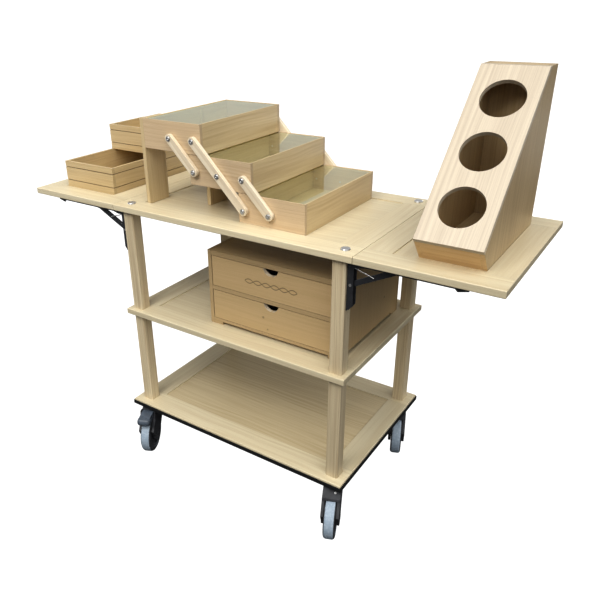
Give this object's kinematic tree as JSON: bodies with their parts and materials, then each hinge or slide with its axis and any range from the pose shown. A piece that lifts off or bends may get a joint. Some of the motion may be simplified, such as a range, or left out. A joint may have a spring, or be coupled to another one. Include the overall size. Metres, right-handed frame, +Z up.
{
  "type": "food service trolley",
  "caption": "Wooden food service trolley on swivel casters with drop flaps, swing-out glass-lidded trays, crates, a sloped dispenser and a two-drawer chest.",
  "frame": {"origin": "on the floor under the middle of the overall box", "axes": "+X along the long side towards the sloped dispenser, +Y to the back, +Z up"},
  "size_m": [1.436, 0.5832, 1.208],
  "materials": {
    "oak": "satin",
    "oak_pink": "satin",
    "oak_honey": "satin",
    "glass": "polished",
    "steel_black": "satin",
    "steel_bright": "satin",
    "plastic_black": "satin",
    "tread_grey": "matte",
    "rubber": "matte"
  },
  "bodies": {
    "trolley": {"top_frame": "oak", "top_panel": "oak", "middle_shelf_frame": "oak", "middle_shelf_panel": "oak", "bottom_shelf_frame": "oak", "bottom_shelf_panel": "oak", "bumper_strip": "rubber", "legs": "oak", "cap_bolts": "steel_bright", "bracket_uprights": "steel_black", "bracket_pins": "steel_bright", "caster_plates": "steel_bright", "chest_carcass": "oak_honey"},
    "left_flap": {"left_flap_frame": "oak", "left_flap_panel": "oak", "left_arms": "steel_black"},
    "right_flap": {"right_flap_frame": "oak", "right_flap_panel": "oak", "right_arms": "steel_black"},
    "left_strut_pair": {"left_struts": "steel_black"},
    "right_strut_pair": {"right_struts": "steel_black"},
    "left_wire_pair": {"left_spring_wires": "steel_bright"},
    "right_wire_pair": {"right_spring_wires": "steel_bright"},
    "lower_crate_box": {"lower_crate": "oak"},
    "upper_crate_box": {"upper_crate": "oak"},
    "dispenser": {"dispenser_cheeks": "oak", "dispenser_face": "oak", "dispenser_case": "oak"},
    "lowest_tray": {"bottom_tray": "oak_pink", "bottom_tray_lid": "glass", "bottom_tray_pins": "steel_bright"},
    "long_link_pair": {"long_links": "oak_pink"},
    "lower_link_pair": {"lower_links": "oak_pink"},
    "upper_link_pair": {"upper_links": "oak_pink"},
    "centre_tray": {"middle_tray": "oak_pink", "middle_tray_lid": "glass", "middle_tray_pins": "steel_bright"},
    "highest_tray": {"top_tray": "oak_pink", "top_tray_pins": "steel_bright"},
    "top_lid": {"top_tray_lid": "glass"},
    "upper_drawer_box": {"upper_drawer": "oak_honey"},
    "lower_drawer_box": {"lower_drawer": "oak_honey"},
    "front_left_caster": {"front_left_fork": "plastic_black", "front_left_axle": "steel_bright"},
    "front_left_wheel": {"front_left_hub": "plastic_black", "front_left_tyre": "tread_grey"},
    "front_right_caster": {"front_right_fork": "plastic_black", "front_right_axle": "steel_bright"},
    "front_right_wheel": {"front_right_hub": "plastic_black", "front_right_tyre": "tread_grey"},
    "back_left_caster": {"back_left_fork": "plastic_black", "back_left_axle": "steel_bright"},
    "back_left_wheel": {"back_left_hub": "plastic_black", "back_left_tyre": "tread_grey"},
    "back_right_caster": {"back_right_fork": "plastic_black", "back_right_axle": "steel_bright"},
    "back_right_wheel": {"back_right_hub": "plastic_black", "back_right_tyre": "tread_grey"},
    "front_left_brake": {"front_left_pedal": "plastic_black"},
    "back_left_brake": {"back_left_pedal": "plastic_black"}
  },
  "joints": [
    {"name": "right_flap_fold", "type": "hinge", "parent": "trolley", "child": "right_flap", "pos_m": [0.367, 0.02963, 0.8015], "axis": [0, 1, 0], "range_deg": [0, 90]},
    {"name": "left_flap_fold", "type": "hinge", "parent": "trolley", "child": "left_flap", "pos_m": [-0.367, 0.02963, 0.8015], "axis": [0, -1, 0], "range_deg": [0, 90]},
    {"name": "right_strut_swing", "type": "hinge", "parent": "trolley", "child": "right_strut_pair", "pos_m": [0.367, 0.02963, 0.749], "axis": [0, 1, 0], "range_deg": [0, 116.8]},
    {"name": "left_strut_swing", "type": "hinge", "parent": "trolley", "child": "left_strut_pair", "pos_m": [-0.367, 0.02963, 0.749], "axis": [0, -1, 0], "range_deg": [0, 116.8]},
    {"name": "right_wire_swing", "type": "hinge", "parent": "trolley", "child": "right_wire_pair", "pos_m": [0.372, 0.02963, 0.794], "axis": [0, 1, 0], "range_deg": [0, 72.9]},
    {"name": "left_wire_swing", "type": "hinge", "parent": "trolley", "child": "left_wire_pair", "pos_m": [-0.372, 0.02963, 0.794], "axis": [0, -1, 0], "range_deg": [0, 72.9]},
    {"name": "lower_crate_lift", "type": "slide", "parent": "left_flap", "child": "lower_crate_box", "axis": [0, 0, 1], "range_m": [0, 0.1]},
    {"name": "upper_crate_lift", "type": "slide", "parent": "lower_crate_box", "child": "upper_crate_box", "axis": [0, 0, 1], "range_m": [0, 0.1]},
    {"name": "dispenser_lift", "type": "slide", "parent": "right_flap", "child": "dispenser", "axis": [0, 0, 1], "range_m": [0, 0.1]},
    {"name": "tray_unit_lift", "type": "slide", "parent": "trolley", "child": "lowest_tray", "axis": [0, 0, 1], "range_m": [0, 0.1]},
    {"name": "cantilever_fold", "type": "hinge", "parent": "lowest_tray", "child": "long_link_pair", "pos_m": [0.0405, 0.02963, 0.8635], "axis": [0, 1, 0], "range_deg": [0, 88]},
    {"name": "centre_tray_level", "type": "hinge", "parent": "long_link_pair", "child": "centre_tray", "pos_m": [-0.038, 0.02963, 0.9435], "axis": [0, -1, 0], "range_deg": [0, 88]},
    {"name": "highest_tray_level", "type": "hinge", "parent": "long_link_pair", "child": "highest_tray", "pos_m": [-0.1165, 0.02963, 1.0235], "axis": [0, -1, 0], "range_deg": [0, 88]},
    {"name": "lower_link_swing", "type": "hinge", "parent": "lowest_tray", "child": "lower_link_pair", "pos_m": [0.119, 0.02963, 0.8635], "axis": [0, 1, 0], "range_deg": [0, 88]},
    {"name": "upper_link_swing", "type": "hinge", "parent": "centre_tray", "child": "upper_link_pair", "pos_m": [-0.1165, 0.02963, 0.9435], "axis": [0, 1, 0], "range_deg": [0, 88]},
    {"name": "top_lid_lift", "type": "slide", "parent": "highest_tray", "child": "top_lid", "axis": [0, 0, 1], "range_m": [0, 0.05]},
    {"name": "upper_drawer_slide", "type": "slide", "parent": "trolley", "child": "upper_drawer_box", "axis": [0, -1, 0], "range_m": [0, 0.24]},
    {"name": "lower_drawer_slide", "type": "slide", "parent": "trolley", "child": "lower_drawer_box", "axis": [0, -1, 0], "range_m": [0, 0.24]},
    {"name": "front_left_swivel", "type": "hinge", "parent": "trolley", "child": "front_left_caster", "pos_m": [-0.34, -0.18837, 0.15], "axis": [0, 0, 1], "continuous": true},
    {"name": "front_left_roll", "type": "hinge", "parent": "front_left_caster", "child": "front_left_wheel", "pos_m": [-0.32098, -0.22916, 0.0625], "axis": [0.9063, 0.4226, 0], "continuous": true},
    {"name": "front_left_brake_press", "type": "hinge", "parent": "front_left_caster", "child": "front_left_brake", "pos_m": [-0.31971, -0.23188, 0.144], "axis": [0.9063, 0.4226, 0], "range_deg": [0, 6]},
    {"name": "front_right_swivel", "type": "hinge", "parent": "trolley", "child": "front_right_caster", "pos_m": [0.34, -0.18837, 0.15], "axis": [0, 0, 1], "continuous": true},
    {"name": "front_right_roll", "type": "hinge", "parent": "front_right_caster", "child": "front_right_wheel", "pos_m": [0.35686, -0.2301, 0.0625], "axis": [0.9272, 0.3746, 0], "continuous": true},
    {"name": "back_left_swivel", "type": "hinge", "parent": "trolley", "child": "back_left_caster", "pos_m": [-0.34, 0.24763, 0.15], "axis": [0, 0, 1], "continuous": true},
    {"name": "back_left_roll", "type": "hinge", "parent": "back_left_caster", "child": "back_left_wheel", "pos_m": [-0.31484, 0.21032, 0.0625], "axis": [0.829, 0.5592, 0], "continuous": true},
    {"name": "back_left_brake_press", "type": "hinge", "parent": "back_left_caster", "child": "back_left_brake", "pos_m": [-0.31316, 0.20783, 0.144], "axis": [0.829, 0.5592, 0], "range_deg": [0, 6]},
    {"name": "back_right_swivel", "type": "hinge", "parent": "trolley", "child": "back_right_caster", "pos_m": [0.34, 0.24763, 0.15], "axis": [0, 0, 1], "continuous": true},
    {"name": "back_right_roll", "type": "hinge", "parent": "back_right_caster", "child": "back_right_wheel", "pos_m": [0.35686, 0.2059, 0.0625], "axis": [0.9272, 0.3746, 0], "continuous": true}
  ],
  "couplings": [
    {"joint": "right_strut_swing", "follows": "right_flap_fold", "ratio": 1.2977},
    {"joint": "left_strut_swing", "follows": "left_flap_fold", "ratio": 1.2977},
    {"joint": "right_wire_swing", "follows": "right_flap_fold", "ratio": 0.81},
    {"joint": "left_wire_swing", "follows": "left_flap_fold", "ratio": 0.81},
    {"joint": "centre_tray_level", "follows": "cantilever_fold", "ratio": 1},
    {"joint": "highest_tray_level", "follows": "cantilever_fold", "ratio": 1},
    {"joint": "lower_link_swing", "follows": "cantilever_fold", "ratio": 1},
    {"joint": "upper_link_swing", "follows": "cantilever_fold", "ratio": 1}
  ]
}
